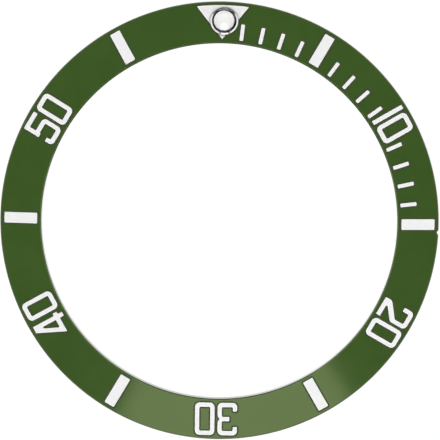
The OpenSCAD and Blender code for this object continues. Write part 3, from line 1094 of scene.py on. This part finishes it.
# %% The pearl's hole and the underside
def at_foot(angle):
    """Where the pearl's hole leaves the underside."""
    axis = pearl_turn @ Vector((0, 0, 1))
    start = pearl_place @ Vector((*polar(HOLE_R, angle), 0))
    return start - axis * (start.z - FILM_T) / axis.z


hole_rays = [-hole_ray(a) for a in hole_angles]
hole_foot = ring.row([at_foot(a) for a in hole_angles], 1.0)
ring.strip(hole_top, hole_foot, hole_rays, hole_rays)
ring.fill([rim_rows[0], bore_rows[-1], hole_foot], down=True, normal=lambda x, y: (0, 0, -1))
print("with hole and underside:", len(ring.faces), "faces")

# %% The face
NET_STEP = 0.4
NET_AROUND = 300
NET_FROM_OPENING = 0.35
NET_FROM_RIM = 0.3
NET_CLEAR = 0.2
HALO = 0.16
HALO_CLEAR = 0.05
HALO_MARGIN = 0.2
HOLE_HALO_R = 1.36
HOLE_HALO_CLEAR = 0.045
HOLE_HALO_BESIDE = 0.14


def inside(points, polygon):
    """Which of the points lie inside a closed polygon."""
    x, y = points[:, 0], points[:, 1]
    odd = np.zeros(len(points), bool)
    for (x1, y1), (x2, y2) in zip(polygon, np.roll(polygon, -1, axis=0)):
        if y1 != y2:
            odd ^= ((y1 > y) != (y2 > y)) & (x < (x2 - x1) * (y - y1) / (y2 - y1) + x1)
    return odd


def clear_of(points, p, gap):
    """Whether p is farther than a gap from all the points."""
    return np.hypot(*(points - p).T).min() > gap


lip_points = np.array([ring.points[i][:2] for lip in lips for i in lip])
loose = []
for j, r in enumerate(np.arange(OPENING_R + NET_FROM_OPENING, OUTSIDE_R - NET_FROM_RIM, NET_STEP)):
    for k in range(NET_AROUND):
        p = polar(r, 2 * math.pi * (k + 0.5 * (j % 2)) / NET_AROUND)
        if clear_of(lip_points, p, NET_CLEAR):
            loose.append(p)
for line in [line for lines in marks.values() for line in lines] + [triangle]:
    for p in line.points + HALO * line.normals:
        within = OPENING_R + HALO_MARGIN < math.hypot(*p) < OUTSIDE_R - HALO_MARGIN
        if within and clear_of(lip_points, p, HALO_CLEAR):
            loose.append(p)
beside = triangle.grown(HOLE_HALO_BESIDE)
for p in (on_hole(a, HOLE_HALO_R, 0)[:2] for a in hole_angles):
    if clear_of(lip_points, p, HOLE_HALO_CLEAR) and not inside(np.array([p]), beside)[0]:
        loose.append(p)
ring.fill([outer_row, inner_row] + lips, loose=ring.row(lowered(loose, 0.0)), normal=face_normal)
make_piece("green_ring", ring, glaze, "insert_ring")

# %% [markdown]
# ## The silver fillings
#
# The marks could be mere colour on the face. As pieces of their own they show their depth from
# the side and catch the light at their edges. Each filling lies a little below the face and
# stops short of the pocket's wall, so a dark gap runs round it. Its edge is rounded, and its
# top isn't quite flat: loose points in it rise and fall by a few thousandths of a millimetre.
# The points along the edge carry the edge value, and the material paints a highlight there. Each is
# also a hair narrower than in the CAD model, because the blurred edge of a white mark on dark
# green renders too wide. The triangle keeps its width, and has a narrower and brighter painted highlight
# on its edge.

# %% Fillings
INLAY_SINK = 0.03
FILL_LIFT = 0.003
# The edge values of a filling set how strong its painted highlight is.
FILL_FOOT_EDGE = 0.6
FILL_EDGE_R = 0.028
FILL_SHRINK = 0.015
FILL_BORDER = 0.09
BORDER_SINK = 0.002
BORDER_EDGE = 0.4
TRIANGLE_BORDER = 0.06
TRIANGLE_EDGE = 0.8
FILL_NET = 0.11
FILL_NET_ROW = 0.866 * FILL_NET
FILL_NET_CLEAR = 0.06
MIDDLE_SINK = 0.004
UNEVEN = 0.0035
SLOW_WAVE = 6
SLOW_SEED = 0.5
QUICK_WAVE = 19
QUICK_SEED = 4
QUICK_SHARE = 0.5


def filling(shell, lines_at, shrink=FILL_SHRINK, border=FILL_BORDER, border_edge=BORDER_EDGE):
    """A filling between the pocket's floor and just below the face. lines_at holds a function
    of (grow, depth) for each closed line, the outer one first."""
    levels = [(-shrink, POCKET_DEPTH - FILL_LIFT, 0.0, FILL_FOOT_EDGE)]
    for a in lip_angles:
        drop = INLAY_SINK + FILL_EDGE_R * (1 - math.sin(a))
        levels.append((FILL_EDGE_R * (math.cos(a) - 1) - shrink, drop, a, 1.0))
    levels.append((-border, INLAY_SINK + BORDER_SINK, QUARTER, border_edge))
    ends = [side_rows(shell, line_at, levels, 1) for line_at in lines_at]
    tops = [top for _, top in ends]
    shell.fill([bottom for bottom, _ in ends], down=True, normal=lambda x, y: -face_normal(x, y))
    shell.fill(tops, loose=shell.row(uneven_net(shell, tops)))


def wave(x, y):
    """A slow swell with a quicker and lower one on it."""
    slow = noise.noise(Vector((x * SLOW_WAVE, y * SLOW_WAVE, SLOW_SEED)))
    return slow + QUICK_SHARE * noise.noise(Vector((x * QUICK_WAVE, y * QUICK_WAVE, QUICK_SEED)))


def uneven_net(shell, tops):
    """Loose points on a filling, a few thousandths of a millimetre up and down."""
    edge_points = np.array([shell.points[i][:2] for top in tops for i in top])
    low, high = edge_points.min(axis=0), edge_points.max(axis=0)
    across = np.arange(low[0], high[0], FILL_NET)
    up = np.arange(low[1], high[1], FILL_NET_ROW)
    net = np.array([(x + FILL_NET / 2 * (j % 2), y) for j, y in enumerate(up) for x in across])
    odd = np.zeros(len(net), bool)
    for top in tops:
        odd ^= inside(net, np.array([shell.points[i][:2] for i in top]))
    return [(x, y, face_height(x, y) - INLAY_SINK - MIDDLE_SINK + UNEVEN * wave(x, y))
            for x, y in net[odd] if clear_of(edge_points, (x, y), FILL_NET_CLEAR)]


for name, lines in marks.items():
    shell = Shell()
    filling(shell, [line.at for line in lines])
    piece_name = name.replace("inlay", "fill") if "inlay" in name else name + "_fill"
    make_piece(piece_name, shell, silver, name)
shell = Shell()
for line_at in (body_line, tip_line):
    filling(shell, [line_at], 0.0, TRIANGLE_BORDER, TRIANGLE_EDGE)
make_piece("triangle_fill", shell, triangle_silver, "triangle_inlay")
print("fillings:", len(marks) + 1)

# %% [markdown]
# ## The pearl
#
# The pearl is a polished cup with a flange that sits on the face, white luminous paste on its
# floor, and a clear lens with a low dome over it. All three are turned parts, so they are
# spun from their sections about the pearl's own axis. The rim slopes up to a crest and is
# polished, so each side of it mirrors another part of the room, and it looks white on one
# side and dark on the other. Inside the crest a cone falls to the bore. Painted shade darkens
# the cone and the bore, most at the lower right, and the lens and the paste sit a hair off the
# middle. Together they give the dark crescent that the photograph shows there. What makes it
# on the real pearl isn't known.

# %% Turned shells
ON_AXIS = 1e-9
PEARL_AROUND = 160


def spin(shell, profile, count, edge):
    """Turns an open profile of (distance, height) about Z. Points on the axis become poles.
    edge(distance, height) gives the edge value."""
    angles = turn_in(count)
    rows, rays = [], []
    for (r, z), (nr, nz) in zip(profile.points, profile.normals):
        if r < ON_AXIS:
            rows.append(shell.row([(0, 0, z)], edge(r, z)))
            rays.append([(0, 0, nz)])
        else:
            rows.append(shell.row([(*polar(r, a), z) for a in angles], edge(r, z)))
            rays.append([(*polar(nr, a), nz) for a in angles])
    for i in range(len(rows) - 1):
        if len(rows[i]) == 1:
            shell.fan(rows[i][0], rows[i + 1][::-1], rays[i][0], rays[i + 1][::-1])
        elif len(rows[i + 1]) == 1:
            shell.fan(rows[i + 1][0], rows[i], rays[i + 1][0], rays[i])
        else:
            shell.strip(rows[i], rows[i + 1], rays[i], rays[i + 1])


def set_on_face(shell):
    """Moves a shell from the pearl's own axis to its place on the face."""
    shell.points = [tuple(pearl_place @ Vector(p)) for p in shell.points]
    shell.normals = [tuple(pearl_turn @ Vector(n)) for n in shell.normals]


print("the pearl's parts are turned in", PEARL_AROUND, "steps")

# %% Cup
CUP_BORE_R = 0.92
BARREL_R = 1.09
CUP_FOOT = -0.7
CUP_FLOOR = -0.56
CUP_RIM_H = 0.26
RIM_SLOPE_H = 0.085
CREST_R = CUP_R - 0.145
CONE_H = 0.2
GROOVE_R = CUP_R - 0.14
PAINTED_SHADE_FOOT = CUP_FLOOR + 0.1
PAINTED_SHADE_MEAN = 0.55
PAINTED_SHADE_TO_X = 0.25
PAINTED_SHADE_TO_Y = -0.8
NEAR_AXIS = 0.01


def in_groove(r, z):
    return 1.0 if r < GROOVE_R and z > PAINTED_SHADE_FOOT else 0.0


cup = Shell()
spin(cup, rounded([
    (0, CUP_FOOT, 0), (BARREL_R, CUP_FOOT, 0.05), (BARREL_R, 0, 0.01), (CUP_R, 0, 0.02),
    (CUP_R, CUP_RIM_H - RIM_SLOPE_H, 0.03), (CREST_R, CUP_RIM_H, 0.008),
    (CUP_BORE_R, CUP_RIM_H - CONE_H, 0.03), (CUP_BORE_R, CUP_FLOOR, 0.03), (0, CUP_FLOOR, 0)],
    closed=False), PEARL_AROUND, in_groove)
# Painted shade in the groove, stronger towards the lower right.
for i, (x, y, z) in enumerate(cup.points):
    lean = (PAINTED_SHADE_TO_X * x + PAINTED_SHADE_TO_Y * y) / max(math.hypot(x, y), NEAR_AXIS)
    cup.edge[i] *= min(1.0, max(0.0, PAINTED_SHADE_MEAN + lean))
set_on_face(cup)
make_piece("pearl_rim_cup", cup, steel, "pearl_cup")

# %% Luminous paste
LENS_R = 0.89
LENS_SHIFT = (-0.016, 0.022)
LENS_PIECE = 0.06
LUME_TOP = -0.22
LUME_FOOT = CUP_FLOOR + 0.002
LUME_AROUND = 96
# Beyond this radius the paste carries the painted highlight.
LUME_HIGHLIGHT_R = 0.79
LUME_SINK = 0.006
LUME_UNEVEN = 0.005
LUME_WAVE = 7
LUME_SEED = 1
NEAR_TOP = 0.001


def shift_sideways(shell):
    """The lens and the paste sit a hair off the cup's middle."""
    shell.points = [(x + LENS_SHIFT[0], y + LENS_SHIFT[1], z) for x, y, z in shell.points]


paste = Shell()
paste_line = rounded([(0, LUME_FOOT, 0), (LENS_R, LUME_FOOT, 0.02), (LENS_R, LUME_TOP, 0.05),
                      (0, LUME_TOP, 0)], closed=False, longest=LENS_PIECE)
spin(paste, paste_line, LUME_AROUND, lambda r, z: 1.0 if r > LUME_HIGHLIGHT_R else 0.0)
for i, (x, y, z) in enumerate(paste.points):
    if z > LUME_TOP - NEAR_TOP:
        swell = noise.noise(Vector((LUME_WAVE * x, LUME_WAVE * y, LUME_SEED)))
        paste.points[i] = (x, y, z - LUME_SINK + LUME_UNEVEN * swell)
shift_sideways(paste)
paste.normals = [NO_NORMAL] * len(paste.normals)
set_on_face(paste)
make_piece("lume_paste_disc", paste, lume, "pearl_lume")

# %% Clear lens
LENS_FOOT = LUME_TOP - 0.03
LENS_EDGE = 0.3
DOME_H = 0.17
DOME_PIECES = 24
# The lens's side from DARK_SIDE_FOOT up carries painted shade.
DARK_SIDE_R = LENS_R - 0.012
DARK_SIDE_FOOT = -0.2
dome_r = (LENS_R ** 2 + DOME_H ** 2) / (2 * DOME_H)
dome_half = math.asin(LENS_R / dome_r)
dome_centre = LENS_EDGE + DOME_H - dome_r
section = [(0, LENS_FOOT, 0), (LENS_R, LENS_FOOT, 0.02)]
for k in range(DOME_PIECES + 1):
    a = dome_half * (1 - k / DOME_PIECES)
    section.append((dome_r * math.sin(a), dome_centre + dome_r * math.cos(a), 0 if k else 0.03))
lens = Shell()
spin(lens, rounded(section, closed=False, longest=LENS_PIECE), PEARL_AROUND,
     lambda r, z: 1.0 if r > DARK_SIDE_R and z > DARK_SIDE_FOOT else 0.0)
shift_sideways(lens)
set_on_face(lens)
make_piece("clear_dome_lens", lens, glass, "pearl_lens")
print("dome radius in mm:", round(dome_r, 3))

# %% [markdown]
# ## The bonding film
#
# A die-cut film of pressure-sensitive glue covers most of the underside. It is soft, so its
# edges are round and its width wanders a little. It is spun like the walls, and its rows are
# then moved by a slow noise.

# %% Film
FILM_MARGIN = 0.35
FILM_CORNER_R = 0.03
FILM_PIECE = 0.3
FILM_EDGE_W = 0.05
FILM_WANDER = 0.03
FILM_WAVE = 4
OUTER_SEED = 2
INNER_SEED = 9
FILM_START = 0.5
film_in, film_out = OPENING_R + FILM_MARGIN, OUTSIDE_R - FILM_MARGIN
film_line = rounded([
    (film_in + FILM_START, 0, 0), (film_out, 0, FILM_CORNER_R), (film_out, FILM_T, FILM_CORNER_R),
    (film_in, FILM_T, FILM_CORNER_R), (film_in, 0, FILM_CORNER_R)], longest=FILM_PIECE)
film = Shell()
film_rows, film_rays = [], []
for (r, z), (nr, nz) in zip(film_line.points, film_line.normals):
    points, rays = [], []
    seed = OUTER_SEED if r > OPENING_R + BAND_W / 2 else INNER_SEED
    for a in turn_in(AROUND):
        c, s = math.cos(a), math.sin(a)
        at = r + FILM_WANDER * noise.noise(Vector((FILM_WAVE * c, FILM_WAVE * s, seed)))
        points.append((at * c, at * s, z))
        rays.append((nr * c, nr * s, nz))
    film_rows.append(film.row(points, 1.0 if min(r - film_in, film_out - r) < FILM_EDGE_W else 0.0))
    film_rays.append(rays)
film.skin(film_rows + film_rows[:1], film_rays + film_rays[:1])
make_piece("glue_film", film, glue, "bonding_film")

# %% [markdown]
# ## The studio
#
# The ring lies on a wide flat floor. The floor is white by its own light for the camera
# and for mirrors, and keeps the ring's soft shadow. From below it is clear, so that the
# underside can be looked at. A wide disc above is the strongest lamp. A soft card stands
# over the six o'clock side, 31.5 degrees from upright. The face is tilted by 13.5 degrees
# and mirrors what stands at twice that, which the card reaches, so it shows in the lower
# part of the ring only. Low boxes round about light the rest without showing in the face, and
# one from below lights the underside.

# %% The white floor
FLOOR_Z = -0.05
FLOOR_RADII = (60, 200, 700, 2000)
FLOOR_AROUND = 96
FLOOR_PAINT = (0.25, 0.25, 0.25, 1)
FLOOR_GLOW = 0.85
floor_white = bpy.data.materials.new("floor_white")
floor_white.use_nodes = True
tree = floor_white.node_tree
tree.nodes.clear()
rays = node(tree, "LightPath").outputs
mirrored = maths(tree, "MAXIMUM", rays["Is Glossy Ray"], rays["Is Transmission Ray"])
seen = maths(tree, "MAXIMUM", rays["Is Camera Ray"], mirrored)
paint = node(tree, "BsdfDiffuse", {"Color": FLOOR_PAINT}).outputs[0]
glow = node(tree, "Emission", {"Color": WHITE, "Strength": times(tree, seen, FLOOR_GLOW)}).outputs[0]
lit = node(tree, "AddShader", {0: paint, 1: glow}).outputs[0]
back = node(tree, "NewGeometry").outputs["Backfacing"]
clear = maths(tree, "MAXIMUM", back, rays["Is Shadow Ray"])
both = node(tree, "MixShader", {0: clear, 1: lit, 2: node(tree, "BsdfTransparent").outputs[0]}).outputs[0]
wire(tree, node(tree, "OutputMaterial"), Surface=both)

disc = Shell()
disc_rows = [disc.row([(*polar(r, a), FLOOR_Z) for a in turn_in(FLOOR_AROUND)]) for r in FLOOR_RADII]
upright = [(0, 0, 1)] * FLOOR_AROUND
disc.fan(disc.row([(0, 0, FLOOR_Z)])[0], disc_rows[0], (0, 0, 1), upright)
for inner, outer in zip(disc_rows, disc_rows[1:]):
    disc.strip(outer, inner, upright, upright)
add_object("studio_floor", mesh_of("studio_floor", disc, floor_white))
print("floor:", len(disc.faces), "faces")


# %% Lamps and world
def soft_box(name, azimuth, from_upright, distance, width, height, power, colour=(1, 1, 1),
             shape="RECTANGLE"):
    """An area lamp that looks at the ring's middle. Azimuth counts from +Y, clockwise. Angles
    are in degrees, sizes in metres and power in watts."""
    data = bpy.data.lights.new(name, "AREA")
    data.shape, data.size, data.size_y, data.energy, data.color = shape, width, height, power, colour
    lamp = add_object(name, data)
    a, e = math.radians(azimuth), math.radians(from_upright)
    way = Vector((math.sin(a) * math.sin(e), math.cos(a) * math.sin(e), math.cos(e)))
    lamp.location = way * distance
    lamp.rotation_mode = "QUATERNION"
    lamp.rotation_quaternion = way.to_track_quat("Z", "Y")
    lamp.visible_camera = False


ROOM_LIGHT = 0.09
soft_box("disc_above", 180, 3.5, 0.8, 0.5, 0.5, 3.15, shape="DISK")
soft_box("card_six", 177, 31.5, 0.5, 0.28, 0.19, 0.218, (1.0, 0.98, 0.9))
soft_box("box_left", 284, 58, 0.7, 1.05, 0.44, 1.4)
soft_box("box_right", 76, 58, 0.7, 1.05, 0.44, 1.45)
soft_box("box_low_left", 213, 46.5, 0.7, 0.6, 0.22, 0.46)
soft_box("box_low_right", 139, 47.5, 0.7, 0.52, 0.22, 0.42)
soft_box("box_top", 0, 52, 0.7, 0.8, 0.25, 0.8)
soft_box("box_under", 0, 180, 0.6, 0.5, 0.5, 2.0)
world = bpy.data.worlds.new("room")
bpy.context.scene.world = world
world.use_nodes = True
wire(world.node_tree, world.node_tree.nodes["Background"], Color=WHITE, Strength=ROOM_LIGHT)
bpy.context.scene.view_settings.view_transform = "Standard"
print("lamps:", len(bpy.data.lights))

# %% [markdown]
# ## The camera
#
# The photograph looks down on the ring, which nearly fills it. The ring lies turned by about
# one degree clockwise in the picture, so the camera rolls by as much the other way. The two
# circles of the photograph aren't quite in line, so the camera also leans, by 3.5 degrees
# upwards and one to the right. From half a metre away the inner wall shows only as a hairline,
# as it does in the photograph.

# %% Camera
PICTURE_PX = 440
PX_PER_MM = 11.54
SENSOR_W = 36.0
CAMERA_H = 500.0
ROLL = math.radians(0.95)
LEAN_UP = math.radians(3.5)
LEAN_RIGHT = math.radians(1.0)
AIM = Vector((0.054, 0.068, 0.76))
camera_data = bpy.data.cameras.new("camera")
camera_data.sensor_width = SENSOR_W
camera_data.lens = SENSOR_W * CAMERA_H * PX_PER_MM / PICTURE_PX
camera = add_object("camera", camera_data)
way = Vector((math.tan(LEAN_RIGHT), math.tan(LEAN_UP), 1)).normalized()
camera.location = AIM * MM + way * CAMERA_H * MM
right = Vector((0, 1, 0)).cross(way).normalized()
facing = Matrix((right, way.cross(right), way)).transposed()
camera.rotation_euler = (facing @ Matrix.Rotation(ROLL, 3, "Z")).to_euler()
bpy.context.scene.camera = camera
print("lens in mm:", round(camera_data.lens, 1))

# %% [markdown]
# ## Finishing
#

# %% Update the scene
bpy.context.view_layer.update()
